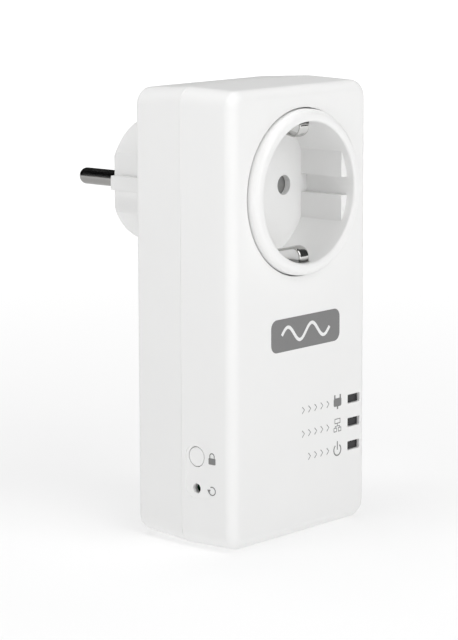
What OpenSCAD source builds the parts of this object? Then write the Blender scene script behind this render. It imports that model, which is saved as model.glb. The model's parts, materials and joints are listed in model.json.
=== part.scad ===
// Powerline adapter with a pass-through socket on its front and a plug on its back.
// Origin: centre of the two plug pins on the plug's engagement face.
// +Y runs out along the plug pins, +Z is up, +X is to the right seen from the front.

/* [Housing] */
// Width of the housing at the parting line
body_w = 60; // [59:0.5:62]
// Height of the housing at the parting line
body_h = 128; // [126:0.5:132]
// Height of the plug and socket axis above the housing's underside
axis_h = 98; // [97:0.5:100]
// Depth of the front shell, from the parting line to its face
front_d = 18.6; // [18.2:0.1:19.4]
// Depth of the rear shell, from the parting line to its back
rear_d = 17.8; // [17.4:0.1:18.6]
// Wall thickness of both shells
wall = 2; // [1.8:0.1:2.2]
// Radius of the four upright corners, seen from the front
corner_r = 5; // [4.5:0.1:6]
// Rounding of the front face's edge
front_edge_r = 3.2; // [2:0.1:3.6]
// Rounding of the back's edge
rear_edge_r = 1.5; // [1:0.1:2]
// Draft of the front shell over its depth
front_draft = 0.4; // [0.2:0.1:0.6]
// Draft of the rear shell over its depth
rear_draft = 1.2; // [0.6:0.1:1.4]

/* [Plug] */
// Length of the plug body behind the housing
collar_l = 20.4; // [20:0.1:21]
// Radius of the plug body
collar_r = 18.25; // [18.15:0.05:18.45]
// Distance of the side flats from the axis
collar_flat = 16.1; // [15.9:0.1:16.4]
// Width of the guide rib on each flat
rib_w = 4.1; // [3.9:0.1:4.6]
// Distance between the two pins
pin_pitch = 19; // [18.9:0.1:19.1]
// Radius of a pin
pin_r = 2.4; // [2.35:0.01:2.42]
// Length of a pin beyond the engagement face
pin_l = 19; // [18.5:0.1:19.5]

/* [Socket] */
// Radius of the well that takes a plug
well_r = 19.75; // [19.6:0.05:20]
// Depth of the well below the crest of the rim
well_d = 17.5; // [17.3:0.1:17.8]
// Radius of the rim's outside
rim_r = 23.2; // [23:0.1:23.6]
// Height of the rim above the housing's face
rim_proud = 3; // [2.4:0.1:3.4]
// Gap round the rim where it passes through the housing
rim_gap = 0.35; // [0.3:0.05:0.6]
// Distance of the well's side flats from the axis
well_flat = 17.1; // [16.9:0.1:17.4]
// Radius of a pin hole
pin_hole_r = 2.85; // [2.7:0.05:2.9]
// Angle that the shutter turns to open
shutter_turn = 38; // [37:0.5:40]

/* [Controls] */
// Height of the security button above the underside
button_h = 26; // [25:0.5:27]
// Height of the reset pinhole above the underside
pinhole_h = 17; // [16:0.5:17.5]
// Radius of the security button
button_r = 2.7; // [2.5:0.05:2.8]
// Radius of the reset pinhole
pinhole_r = 1.4; // [1.2:0.05:1.5]
// Gap round the button
button_gap = 0.2; // [0.15:0.05:0.3]

/* [Indicators] */
// Width of an indicator window
window_w = 5.5; // [5:0.1:6]
// Height of an indicator window
window_h = 2.6; // [2.2:0.1:3]
// Distance from one window to the next
window_pitch = 6.85; // [6.5:0.05:7]
// Height of the top window above the underside
window_top_h = 36.05; // [35:0.05:37]
// Distance of the windows from the middle of the face
window_x = 23.5; // [23:0.1:23.8]

/* [Hidden] */
$fn = 64;
eps = 0.01;

// Levels along the depth, from the engagement face to the crest of the rim
y_back = -collar_l;
y_part = y_back - rear_d;
y_face = y_part - front_d;
y_crest = y_face - rim_proud;
y_floor = y_crest + well_d;
floor_t = 2;
y_floor_back = y_floor + floor_t;

// Levels along the height
z_top = body_h - axis_h;
z_bottom = -axis_h;
side_x = body_w / 2;
pin_x = pin_pitch / 2;
pin_neck_r = pin_r - 0.25;

// Parting line: a tongue on the front shell sits in a rebate of the rear shell
tongue_l = 1.5;
tongue_gap = 0.2;
tongue_out = 1.05;
rebate = 1;
rear_draft_z = rear_draft - 0.15;
front_draft_top = front_draft + 0.1;

// Socket insert, its flange and what stands behind its floor
flange_y0 = y_face + 6;
flange_t = 2;
flange_y1 = flange_y0 + flange_t;
flange_r = 29.8;
flange_x = 27.2;
flange_z = 26.4;
well_wall = 1.85;
well_groove = 5.2;
flat_below_crest = 2.7;
carrier_gap = 1.9;
carrier_t = 2;
carrier_y0 = y_floor_back + carrier_gap;
carrier_y1 = carrier_y0 + carrier_t;
carrier_r = 20.4;
tower_r = 4.4;
tower_l = 7.7;
shutter_r = 13.4;
shutter_t = 1.4;
shutter_y0 = y_floor_back + 0.25;
pivot_r = 2;

// Contact sleeves
sleeve_r = 3.1;
sleeve_bore_r = pin_r + 0.03;
sleeve_y0 = carrier_y0 + 1.3;
sleeve_l = 13.2;
busbar_y = carrier_y1 + tower_l + 0.6;
strip_t = 0.8;

// Earth clips: root, bump and hooked tip, as distances from the axis
clip_w = 4;
clip_t = 0.7;
clip_root_y = y_floor_back + 0.3;
clip_root_z = 18.8;
clip_bump_z = 15.6;
clip_bump_y = y_crest + 5.1;
clip_bend_r = 2.7;
clip_tip_z = 19.5;
pocket_w = clip_w + 0.8;
pocket_z = 22.5;
bridge_w = 4.4;
bridge_z = 19.6;

// Plug body
collar_wall = 2.2;
collar_face_t = 3;
collar_inner_flat = collar_flat - 1.5;
plug_flange_y0 = y_back - wall - 4.6;
plug_flange_t = 1.6;
plug_flange_r = 22;
plug_screw_xz = 17.2;
strip_w = 5;
strip_z0 = 17.4;

// Circuit board
board_t = 1.6;
control_y = y_part - 5.4;
board_y0 = control_y + 2.5;
board_y1 = board_y0 + board_t;
board_x = 26.4;
board_z0 = z_bottom + 3.5;
board_z1 = -29;

// Controls
button_z = z_bottom + button_h;
pinhole_z = z_bottom + pinhole_h;
recess_x = -side_x + 0.28;
switch_x0 = -24.4;
plunger_tip_x = switch_x0 - 1.1;

// Indicator windows
window_z = [for (i = [0:2]) z_bottom + window_top_h - i * window_pitch];

// Network jack
jack_w = 16;
jack_h = 12.2;
jack_l = 18;
jack_z0 = z_bottom + wall + 0.6;
jack_y0 = board_y0 - jack_h;

// Screw positions as [x, z]
housing_screw_at = [
  [23.4, z_top - 6.6], [-23.4, z_top - 6.6], [23.4, z_bottom + 6.6], [-23.4, z_bottom + 6.6]
];
socket_screw_at = [for (sx = [-1, 1], sz = [-1, 1]) [sx * 24.1, sz * 13.2]];
carrier_screw_at = [for (s = [-1, 1]) [s * 11.9, s * 11.9]];
plug_screw_at = [for (sx = [-1, 1], sz = [-1, 1]) [sx * plug_screw_xz, sz * plug_screw_xz]];
board_screw_at = [[-16, z_bottom + 7.5], [16, z_bottom + 7.5], [-22, -33.5], [22, -33.5]];

// ---------- shared shapes ----------

// Box from its lowest to its highest corner
module slab(lo, hi) {
  translate(lo) cube(hi - lo);
}

// Round bar along the depth, at [x, z]
module bar_y(r, y0, y1, at = [0, 0]) {
  translate([at[0], y0, at[1]]) rotate([-90, 0, 0]) cylinder(r = r, h = y1 - y0);
}

// Round bar across the width, at [y, z]
module bar_x(r, x0, x1, at = [0, 0]) {
  translate([x0, at[0], at[1]]) rotate([0, 90, 0]) cylinder(r = r, h = x1 - x0);
}

// Solid of revolution about the socket axis from [radius, depth] points
module turned(points) {
  rotate([-90, 0, 0]) rotate_extrude() polygon(points);
}

// Quarter arc and rounded outline seen from the front
function arc(x, z, r, a0, n = 8) =
  [for (i = [0:n]) [x + r * cos(a0 + 90 * i / n), z + r * sin(a0 + 90 * i / n)]];
function outline(half_w, z0, z1, r) = concat(
  arc(half_w - r, z1 - r, r, 0), arc(-half_w + r, z1 - r, r, 90),
  arc(-half_w + r, z0 + r, r, 180), arc(half_w - r, z0 + r, r, 270));

// One thin cross-section of the housing: how far in it lies, and how far along each draft
module section(y, inset, front, rear) {
  half_w = side_x - inset - front_draft * front - rear_draft * rear;
  top = z_top - inset - front_draft_top * front - rear_draft_z * rear;
  bottom = z_bottom + inset + front_draft * front + rear_draft_z * rear;
  translate([0, y, 0]) rotate([90, 0, 0]) linear_extrude(eps)
    polygon(outline(half_w, bottom, top, max(corner_r - inset, 0.8)));
}

// Ribbon of constant thickness along a path
function unit(v) = v / norm(v);
function side_of(p, i) =
  let (a = p[max(i - 1, 0)], b = p[min(i + 1, len(p) - 1)], u = unit(b - a)) [-u[1], u[0]];
function ribbon(p, t) = concat(
  [for (i = [0:len(p) - 1]) p[i] + side_of(p, i) * t / 2],
  [for (i = [len(p) - 1:-1:0]) p[i] - side_of(p, i) * t / 2]);

// Extrusion across the width of an outline drawn in [depth, height]
module across(width, points) {
  translate([-width / 2, 0, 0]) rotate([90, 0, 90]) linear_extrude(width) polygon(points);
}

// Screw along the depth: its head at y, its shank towards -Y, a cross recess in the head
module screw_y(at, y, head_r, head_h, shank_r, shank_l) {
  difference() {
    union() {
      bar_y(head_r, y, y + head_h, at);
      bar_y(shank_r, y - shank_l, y + eps, at);
    }
    for (a = [0, 90])
      translate([at[0], y + head_h, at[1]]) rotate([0, a, 0])
        cube([head_r * 1.3, head_h, 0.5], center = true);
  }
}

// ---------- housing ----------

module front_housing() {
  color("white") difference() {
    union() {
      difference() {
        union() {
          hull() {
            section(y_part, 0, 0, 0);
            for (a = [0:15:90])
              section(y_face + front_edge_r * (1 - sin(a)) + eps,
                      front_edge_r * (1 - cos(a)), 1, 0);
          }
          hull() {
            section(y_part - 3, tongue_out, 0, 0);
            section(y_part + tongue_l, tongue_out, 0, 0);
          }
        }
        hull() {
          section(y_face + wall + eps, wall, 1, 0);
          section(y_part + tongue_l + 1, wall, 0, 0);
        }
      }
      // bosses for the screws
      for (at = housing_screw_at) bar_y(2.8, y_face + 1, y_part, at);
      for (at = socket_screw_at) bar_y(2.1, y_face + 1, flange_y0, at);
      for (at = board_screw_at) bar_y(2.3, y_face + 1, board_y0, at);
      // guide tube behind the button
      bar_x(button_r + 1.2, -side_x + 1, -side_x + wall + 0.7, [control_y, button_z]);
    }
    bar_y(rim_r + rim_gap, y_face - 1, y_face + wall + 1);
    for (z = window_z)
      slab([window_x - window_w / 2, y_face - 1, z - window_h / 2],
           [window_x + window_w / 2, y_face + wall + 1, z + window_h / 2]);
    for (at = housing_screw_at) bar_y(1.25, y_part - 10.5, y_part + 1, at);
    for (at = socket_screw_at) bar_y(1.05, flange_y0 - 4.5, flange_y0 + 1, at);
    for (at = board_screw_at) bar_y(1.05, board_y0 - 5.5, board_y0 + 1, at);
    bar_x(button_r + button_gap, -side_x - 1, -side_x + 4, [control_y, button_z]);
    bar_x(pinhole_r, -side_x - 1, -side_x + 4, [control_y, pinhole_z]);
    control_recess();
    // opening for the network plug
    slab([-jack_w / 2 + 1.3, jack_y0 + 1, z_bottom - 1],
         [jack_w / 2 - 1.3, board_y0 - 0.9, z_bottom + wall + 1]);
  }
}

// Shallow recess round the two controls, which fades out towards the front
module control_recess() {
  r = 3;
  y1 = control_y + 3.9;
  y0 = y1 - 10.5;
  z0 = pinhole_z - 2.7;
  z1 = button_z + 3.1;
  slab([-side_x - 1, y0, z0 + r], [recess_x, y1, z1 - r]);
  slab([-side_x - 1, y0 + r, z0], [recess_x, y1 - r, z1]);
  for (y = [y0 + r, y1 - r], z = [z0 + r, z1 - r])
    bar_x(r, -side_x - 1, recess_x, [y, z]);
}

module rear_cover() {
  color("white") difference() {
    union() {
      difference() {
        hull() {
          section(y_part + eps, 0, 0, 0);
          for (a = [0:15:90])
            section(y_back - rear_edge_r * (1 - sin(a)), rear_edge_r * (1 - cos(a)), 0, 1);
        }
        hull() {
          section(y_part - 1, wall, 0, 0);
          section(y_back - wall, wall, 0, 1);
        }
        // step that takes the front shell's tongue
        translate([0, y_part + tongue_l + tongue_gap, 0]) rotate([90, 0, 0])
          linear_extrude(tongue_l + tongue_gap + 2)
            polygon(outline(side_x - rebate, z_bottom + rebate, z_top - rebate, corner_r - rebate));
      }
      // tubes that the housing screws pass through, and bosses for the plug body
      for (at = housing_screw_at) bar_y(2.9, y_part + 0.2, y_back - 1, at);
      for (at = plug_screw_at)
        bar_y(2.3, plug_flange_y0 + plug_flange_t, y_back - 1, at);
    }
    bar_y(collar_r + 0.08, y_back - wall - 1, y_back + 1);
    for (at = housing_screw_at) {
      bar_y(1.45, y_part - 1, y_back, at);
      bar_y(2.45, y_back - 7, y_back + 1, at);
    }
    for (at = plug_screw_at)
      bar_y(1.05, plug_flange_y0, y_back - 0.8, at);
  }
}

// ---------- plug ----------

// Outline of the plug body with its two flats, and a guide rib left on each
module collar_outline(y0, y1, r, flat) {
  intersection() {
    bar_y(r, y0, y1);
    slab([-flat, y0, -r], [flat, y1, r]);
  }
}

module plug_insert() {
  ledge = 0.9;
  color("whitesmoke") difference() {
    union() {
      collar_outline(plug_flange_y0, -ledge, collar_r, collar_flat);
      collar_outline(-ledge - eps, 0, collar_r - ledge, collar_flat - ledge / 2);
      intersection() {
        bar_y(collar_r, plug_flange_y0, -ledge);
        slab([-collar_r, plug_flange_y0, -rib_w / 2], [collar_r, -ledge, rib_w / 2]);
      }
      // flange inside the housing, filled out to the corners for its screws
      bar_y(plug_flange_r, plug_flange_y0, plug_flange_y0 + plug_flange_t);
      for (at = plug_screw_at)
        bar_y(3.4, plug_flange_y0, plug_flange_y0 + plug_flange_t, at);
      // round shoulder that closes the opening in the rear shell
      bar_y(collar_r, plug_flange_y0, y_back + 0.6);
    }
    collar_outline(plug_flange_y0 - 1, -collar_face_t, collar_r - collar_wall,
                   collar_inner_flat);
    for (s = [-1, 1]) {
      bar_y(pin_neck_r + 0.02, -collar_face_t - 1, 1, [s * pin_x, 0]);
      // groove for each earth strip
      slab([-strip_w / 2 - 0.1, plug_flange_y0 - 1, min(s * strip_z0, s * 24)],
           [strip_w / 2 + 0.1, -2.4, max(s * strip_z0, s * 24)]);
    }
    for (at = plug_screw_at) bar_y(1.3, plug_flange_y0 - 1, y_back, at);
  }
}

module plug_pin(side) {
  tip = pin_r * 0.9;
  tail_y = -19.7;
  color("gainsboro") translate([side * pin_x, 0, 0]) {
    turned(concat(
      [[0, tail_y], [1.8, tail_y], [1.8, -4.8], [4, -4.8], [4, -3.05], [pin_neck_r, -3.05],
       [pin_neck_r, 0], [pin_r, 0]],
      [for (a = [0:10:90]) [pin_r * cos(a), pin_l - tip + tip * sin(a)]]));
  }
}
module plug_pin_left() { plug_pin(-1); }
module plug_pin_right() { plug_pin(1); }

// Earth strip in its groove, with a foot turned inwards behind the flange
module plug_earth_strip() {
  foot_y = plug_flange_y0 - 0.4;
  color("gainsboro") {
    slab([-strip_w / 2, foot_y, strip_z0 + 0.05], [strip_w / 2, -2.6, strip_z0 + 0.75]);
    slab([-strip_w / 2, foot_y - 0.7, strip_z0 - 3], [strip_w / 2, foot_y + eps, strip_z0 + 0.75]);
  }
}
module plug_earth_strip_upper() { plug_earth_strip(); }
module plug_earth_strip_lower() { mirror([0, 0, 1]) plug_earth_strip(); }

module plug_screws() {
  color("silver")
    for (at = plug_screw_at)
      mirror([0, 1, 0]) screw_y(at, -plug_flange_y0, 1.9, 1.3, 1, 5.5);
}

// ---------- socket ----------

// The rim's outer shoulder, its crest and its rounded mouth
function rim_profile() =
  let (shoulder_w = rim_r - well_r - 1.6, shoulder_h = 2.3, lip = 0.7)
  concat(
    [for (a = [0:15:90])
      [rim_r - shoulder_w * (1 - cos(a)), y_crest + shoulder_h * (1 - sin(a))]],
    [for (a = [0:15:90])
      [well_r + lip * (1 - sin(a)), y_crest + lip * (1 - cos(a))]]);

module clip_pocket(side) {
  depth0 = y_crest + 1.9;
  translate([-pocket_w / 2, depth0, side > 0 ? 14.8 : -pocket_z])
    cube([pocket_w, y_floor - depth0 + eps, pocket_z - 14.8]);
  translate([-pocket_w / 2, y_floor - 1, side > 0 ? 17.6 : -pocket_z])
    cube([pocket_w, floor_t + 2, pocket_z - 17.6]);
}

module socket_insert() {
  wall_r = well_r + well_wall;
  flat_y = y_crest + flat_below_crest;
  color("white") difference() {
    union() {
      difference() {
        union() {
          turned(concat(
            [[0, y_floor_back], [wall_r, y_floor_back], [wall_r, flange_y0 + 1],
             [rim_r, flange_y0 + 1]],
            rim_profile(), [[0, y_crest + 0.7]]));
          intersection() {
            bar_y(flange_r, flange_y0, flange_y1);
            slab([-flange_x, flange_y0, -flange_z], [flange_x, flange_y1, flange_z]);
          }
          // thicker wall round the pocket of each earth clip
          for (s = [-1, 1])
            translate([-pocket_w / 2 - 1.2, flange_y0, s > 0 ? 18 : -pocket_z - 1.1])
              cube([pocket_w + 2.4, y_floor_back - flange_y0, pocket_z + 1.1 - 18]);
        }
        bar_y(well_r, y_crest - 1, y_floor);
      }
      // side flats with their guide grooves
      for (s = [-1, 1])
        difference() {
          intersection() {
            bar_y(well_r + 0.5, flat_y, y_floor + eps);
            translate([s > 0 ? well_flat : -well_r - 1, flat_y, -well_r])
              cube([well_r + 1 - well_flat, well_d, 2 * well_r]);
          }
          translate([s > 0 ? 0 : -well_r, flat_y - 1, -well_groove / 2])
            cube([well_r, y_floor - flat_y + 1, well_groove]);
        }
      // pillars that carry the contact carrier
      for (at = carrier_screw_at) bar_y(2.2, y_floor_back - eps, carrier_y0, at);
    }
    for (s = [-1, 1]) {
      bar_y(pin_hole_r, y_floor - 1, y_floor_back + 1, [s * pin_x, 0]);
      clip_pocket(s);
    }
    for (at = socket_screw_at) bar_y(1.3, flange_y0 - 1, flange_y1 + 1, at);
    for (at = carrier_screw_at) bar_y(1.05, y_floor + 0.5, carrier_y0 + 1, at);
  }
}

// Disc that covers both pin holes until it is turned
module socket_shutter() {
  color("lightgray") translate([0, shutter_y0, 0]) rotate([-90, 0, 0]) difference() {
    union() {
      intersection() {
        cylinder(r = shutter_r, h = shutter_t);
        rotate([0, 0, shutter_turn / 2])
          translate([-shutter_r, -9.2, 0]) cube([2 * shutter_r, 18.4, shutter_t]);
      }
      cylinder(r = 3.4, h = shutter_t);
    }
    translate([0, 0, -1]) cylinder(r = pivot_r + 0.06, h = shutter_t + 2);
    for (a = [0, 180])
      rotate([0, 0, shutter_turn + a])
        translate([pin_x, 0, -1]) cylinder(r = pin_hole_r + 0.1, h = shutter_t + 2);
  }
}

module carrier_notch(side) {
  translate([-bridge_w / 2 - 0.3, carrier_y0 - 1, side > 0 ? 18.3 : -carrier_r - 1])
    cube([bridge_w + 0.6, carrier_t + 2, carrier_r + 1 - 18.3]);
}

module contact_carrier() {
  color("lightgray") difference() {
    union() {
      bar_y(carrier_r, carrier_y0, carrier_y1);
      bar_y(pivot_r, shutter_y0 - 0.1, carrier_y0 + eps);
      for (s = [-1, 1]) bar_y(tower_r, carrier_y1 - eps, carrier_y1 + tower_l, [s * pin_x, 0]);
    }
    // annular pocket for the shutter spring
    difference() {
      bar_y(4.6, carrier_y0 - 1, carrier_y0 + 1.3);
      bar_y(pivot_r + 0.6, carrier_y0 - 2, carrier_y0 + 2);
    }
    for (s = [-1, 1]) {
      bar_y(pin_hole_r - 0.25, carrier_y0 - 1, sleeve_y0 + eps, [s * pin_x, 0]);
      bar_y(sleeve_r + 0.02, sleeve_y0, carrier_y1 + tower_l + 1, [s * pin_x, 0]);
      carrier_notch(s);
    }
    for (at = carrier_screw_at) bar_y(1.25, carrier_y0 - 1, carrier_y1 + 1, at);
  }
}

// Light torsion spring in the carrier's pocket, its two turns drawn as plain rings
module shutter_spring() {
  wire = 0.18;
  coil_r = 3.6;
  color("silver") for (i = [0:1])
    translate([0, carrier_y0 + 0.4 + 0.5 * i, 0]) rotate([-90, 0, 0])
      rotate_extrude() translate([coil_r, 0]) circle(r = wire);
}

// Sleeve with a slit that lets it grip a pin
module contact_sleeve(side) {
  color("goldenrod") translate([side * pin_x, sleeve_y0, 0]) rotate([-90, 0, 0])
    difference() {
      cylinder(r = sleeve_r, h = sleeve_l);
      translate([0, 0, -1]) cylinder(r = sleeve_bore_r, h = sleeve_l + 2);
      translate([0, -0.3, -1]) cube([sleeve_r + 1, 0.6, sleeve_l + 2]);
    }
}
module contact_sleeve_left() { contact_sleeve(-1); }
module contact_sleeve_right() { contact_sleeve(1); }

// Spring arm from its root behind the floor, over the bump, to the hook in the pocket
module earth_clip() {
  path = concat(
    [[clip_root_y, clip_root_z], [y_floor, clip_root_z - 0.25]],
    [for (a = [90:-15:0])
      [clip_bump_y - clip_bend_r * cos(a), clip_bump_z + clip_bend_r * (1 - sin(a))]],
    [[clip_bump_y - clip_bend_r, clip_tip_z]]);
  color("silver") across(clip_w, ribbon(path, clip_t));
}
module earth_clip_upper() { earth_clip(); }
module earth_clip_lower() { mirror([0, 0, 1]) earth_clip(); }

// Strip behind the carrier that ties both clips together
module earth_bridge() {
  color("silver") {
    slab([-bridge_w / 2, carrier_y1, -bridge_z], [bridge_w / 2, carrier_y1 + strip_t, bridge_z]);
    for (s = [-1, 1])
      translate([-bridge_w / 2, clip_root_y + 0.3, s > 0 ? bridge_z - strip_t : -bridge_z])
        cube([bridge_w, carrier_y1 - clip_root_y - 0.3 + eps, strip_t]);
  }
}

// Strip from the bridge back to the two earth strips of the plug
module earth_link() {
  y = plug_flange_y0 - 1.1;
  color("silver") {
    slab([-2, y - strip_t, -strip_z0 + 0.5], [2, y, strip_z0 - 0.5]);
    slab([-2, carrier_y1 + strip_t, -strip_t / 2], [2, y - strip_t + eps, strip_t / 2]);
  }
}

// Strip from a contact sleeve to its pin, with a leg down to the circuit board
module busbar(side) {
  arm_x = 12.9;
  half = 2.5;
  pin_plate_y = -17.8;
  leg_z = -36.6;
  color("peru") mirror([side > 0 ? 0 : 1, 0, 0]) difference() {
    union() {
      slab([pin_x - 3.7, busbar_y, -half], [arm_x + strip_t, busbar_y + strip_t, half]);
      bar_y(3.7, busbar_y, busbar_y + strip_t, [pin_x, 0]);
      slab([arm_x, busbar_y, -half], [arm_x + strip_t, pin_plate_y, half]);
      slab([pin_x - half, pin_plate_y - strip_t, -half], [arm_x + strip_t, pin_plate_y, half]);
      slab([pin_x - 2, busbar_y, leg_z], [pin_x + 2, busbar_y + strip_t, -half + eps]);
      slab([pin_x - 2, board_y1, leg_z], [pin_x + 2, busbar_y + eps, leg_z + strip_t]);
    }
    bar_y(sleeve_r + 0.02, busbar_y - 1, busbar_y + strip_t + 1, [pin_x, 0]);
    bar_y(1.82, pin_plate_y - 2, pin_plate_y + 1, [pin_x, 0]);
  }
}
module live_busbar() { busbar(1); }
module neutral_busbar() { busbar(-1); }

module socket_screws() {
  color("silver") for (at = socket_screw_at) screw_y(at, flange_y1, 1.9, 1.3, 1, 6);
}
module carrier_screws() {
  color("silver") for (at = carrier_screw_at) screw_y(at, carrier_y1, 1.9, 1.3, 1, 5);
}

// ---------- circuit board ----------

module main_circuit_board() {
  color("darkgreen") difference() {
    slab([-board_x, board_y0, board_z0], [board_x, board_y1, board_z1]);
    for (at = housing_screw_at) bar_y(3.4, board_y0 - 1, board_y1 + 1, at);
    for (at = board_screw_at) bar_y(1.25, board_y0 - 1, board_y1 + 1, at);
    // notch that the button's flange moves into
    slab([-board_x - 1, board_y0 - 1, button_z - 4.4],
         [-board_x + 1, board_y1 + 1, button_z + 4.4]);
  }
}

module board_screws() {
  color("silver") for (at = board_screw_at) screw_y(at, board_y1, 1.9, 1.2, 1, 6);
}

// Part standing on the front side of the board, centred at [x, z], [w, h] seen from the front
module on_front(at, size, height) {
  slab([at[0] - size[0] / 2, board_y0 - height, at[1] - size[1] / 2],
       [at[0] + size[0] / 2, board_y0, at[1] + size[1] / 2]);
}

// The same on the rear side
module on_rear(at, size, height) {
  slab([at[0] - size[0] / 2, board_y1, at[1] - size[1] / 2],
       [at[0] + size[0] / 2, board_y1 + height, at[1] + size[1] / 2]);
}

module ethernet_jack() {
  t = 0.3;
  plug_w = 11.9;
  plug_y0 = jack_y0 + 1.9;
  plug_y1 = plug_y0 + 6.8;
  color("dimgray") difference() {
    slab([-jack_w / 2 + t, jack_y0 + t, jack_z0], [jack_w / 2 - t, board_y0, jack_z0 + jack_l - t]);
    slab([-plug_w / 2, plug_y0, jack_z0 - 1], [plug_w / 2, plug_y1, jack_z0 + 13]);
    slab([-3.2, plug_y1 - eps, jack_z0 - 1], [3.2, plug_y1 + 1.6, jack_z0 + 13]);
    slab([-1.7, plug_y1 + 1.5, jack_z0 - 1], [1.7, plug_y1 + 2.2, jack_z0 + 13]);
    // comb that the contact wires lie in
    for (i = [0:7])
      slab([(i - 3.5) * 1.02 - 0.32, jack_y0 + 0.8, jack_z0 + 0.9],
           [(i - 3.5) * 1.02 + 0.32, plug_y0 + eps, jack_z0 + 13]);
  }
}

module ethernet_jack_shield() {
  t = 0.25;
  color("silver") difference() {
    slab([-jack_w / 2, jack_y0, jack_z0 + 0.3], [jack_w / 2, board_y0 - 0.1, jack_z0 + jack_l]);
    slab([-jack_w / 2 + t, jack_y0 + t, jack_z0 - 1],
         [jack_w / 2 - t, board_y0 + 1, jack_z0 + jack_l - t]);
  }
}

// Eight spring wires, each leaning from the mouth's roof down into the plug's space
module ethernet_contacts() {
  y = jack_y0 + 1.15;
  color("goldenrod") for (i = [0:7])
    translate([(i - 3.5) * 1.02, 0, 0]) {
      across(0.4, ribbon([[y, jack_z0 + 1.4], [y, jack_z0 + 2.4], [y + 2.1, jack_z0 + 10.5]], 0.3));
    }
}

module ethernet_transformer() {
  color([0.12, 0.12, 0.13]) on_front([-1, -72.5], [12.7, 7.1], 4.2);
}

// ---------- controls ----------

module security_button() {
  color("white") {
    bar_x(button_r, recess_x + 0.02, -side_x + wall + 0.72, [control_y, button_z]);
    bar_x(button_r + 0.9, -side_x + wall + 0.72, -side_x + wall + 1.4, [control_y, button_z]);
    bar_x(1.5, -side_x + wall + 1.38, plunger_tip_x, [control_y, button_z]);
  }
}

module switch_body(z) {
  color("dimgray") difference() {
    slab([switch_x0, board_y0 - 4.8, z - 3], [switch_x0 + 3.4, board_y0, z + 3]);
    bar_x(1.2, switch_x0 - 1, switch_x0 + 2.4, [control_y, z]);
  }
}
module switch_plunger(z) {
  color([0.85, 0.85, 0.82]) bar_x(1.1, plunger_tip_x, switch_x0 + 1.6, [control_y, z]);
}
module security_switch() { switch_body(button_z); }
module security_switch_plunger() { switch_plunger(button_z); }
module reset_switch() { switch_body(pinhole_z); }
module reset_switch_plunger() { switch_plunger(pinhole_z); }

// ---------- indicators ----------

// Smoked window set back in its opening, with a flange behind the wall
module indicator_window(i) {
  z = window_z[i];
  fit = 0.05;
  color([0.2, 0.2, 0.2]) {
    slab([window_x - window_w / 2 + fit, y_face + 0.9, z - window_h / 2 + fit],
         [window_x + window_w / 2 - fit, y_face + wall + 0.1, z + window_h / 2 - fit]);
    slab([window_x - window_w / 2 - 0.7, y_face + wall + 0.05, z - window_h / 2 - 0.7],
         [window_x + window_w / 2 + 0.7, y_face + wall + 0.8, z + window_h / 2 + 0.7]);
  }
}
module link_window() { indicator_window(0); }
module ethernet_window() { indicator_window(1); }
module power_window() { indicator_window(2); }

module indicator_leds() {
  color("honeydew") for (z = window_z) on_front([window_x, z], [1.6, 3.2], 1.1);
}

// Clear bars that lead the light of each LED to its window, on a common frame
module light_guide() {
  y0 = y_face + wall + 0.95;
  y1 = board_y0 - 1.4;
  color([0.9, 0.95, 1]) {
    for (z = window_z)
      slab([window_x - 2, y0, z - 1.1], [window_x + 2, y1, z + 1.1]);
    slab([window_x - 3.6, y0 + 3, window_z[2] - 2.6],
         [window_x - 1.9, y0 + 4.5, window_z[0] + 2.6]);
    for (z = [window_z[2] - 2.6, window_z[0] + 1.4])
      slab([window_x - 3.6, y0 + 4.4, z], [window_x - 2.2, board_y0, z + 1.2]);
  }
}

// ---------- mains supply, on the rear side of the board ----------

core_at = [3, -62];

// Core with a window that the winding fills
module transformer_core() {
  color([0.2, 0.2, 0.22]) difference() {
    slab([core_at[0] - 8, board_y1 + 1, core_at[1] - 7],
         [core_at[0] + 8, board_y1 + 5.5, core_at[1] + 7]);
    for (s = [-1, 1])
      translate([core_at[0] + s * 4.1, board_y1 + 3, core_at[1]]) cube([3.8, 8, 10], center = true);
  }
}

module transformer_winding() {
  color("gold") {
    difference() {
      slab([core_at[0] - 5.8, board_y1, core_at[1] - 4.7],
           [core_at[0] + 5.8, board_y1 + 14, core_at[1] + 4.7]);
      slab([core_at[0] - 2.3, board_y1 + 0.9, core_at[1] - 5],
           [core_at[0] + 2.3, board_y1 + 5.6, core_at[1] + 5]);
    }
  }
}

// Electrolytic capacitor standing on the board
module can_capacitor(at, r, h) {
  translate([at[0], board_y1, at[1]]) rotate([-90, 0, 0]) {
    cylinder(r = r, h = 0.8 * h);
    cylinder(r = r - 0.4, h = h);
  }
}
module primary_capacitor() { color("navy") can_capacitor([-17, -62], 5, 14.5); }
module output_capacitors() {
  color("navy") {
    can_capacitor([19, -82], 3.15, 11);
    can_capacitor([11, -82], 3.15, 11);
  }
}

module interference_capacitor() {
  color("goldenrod") on_rear([-13.5, -47], [18, 8.5], 12);
}

module fuse() {
  color("saddlebrown") translate([9.5, board_y1, -43.4]) rotate([-90, 0, 0]) {
    cylinder(r = 4.2, h = 7.5);
  }
}

module varistor() {
  color("royalblue") translate([19.5, board_y1 + 6.2, -44.6]) rotate([90, 0, 0]) rotate([0, 90, 0])
    translate([0, 0, -1.9]) cylinder(r = 5, h = 3.8);
}

// Ring core standing on edge, with its windings left as the ring's thickness
module mains_choke() {
  color("darkolivegreen") translate([-15, board_y1 + 6.6, -78]) rotate([0, 90, 0])
    rotate_extrude() translate([4.4, 0]) circle(r = 2.1);
}

module coupling_transformer() {
  color([0.15, 0.15, 0.16]) on_front([17, -44], [9.4, 9.4], 6);
}
module bridge_rectifier() { color([0.1, 0.1, 0.1]) on_rear([18.5, -55], [6.5, 4.7], 2.5); }
module optocoupler() { color([0.95, 0.95, 0.95]) on_rear([18, -66], [6.6, 4.6], 3.4); }

// ---------- network electronics, on the front side of the board ----------

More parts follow.
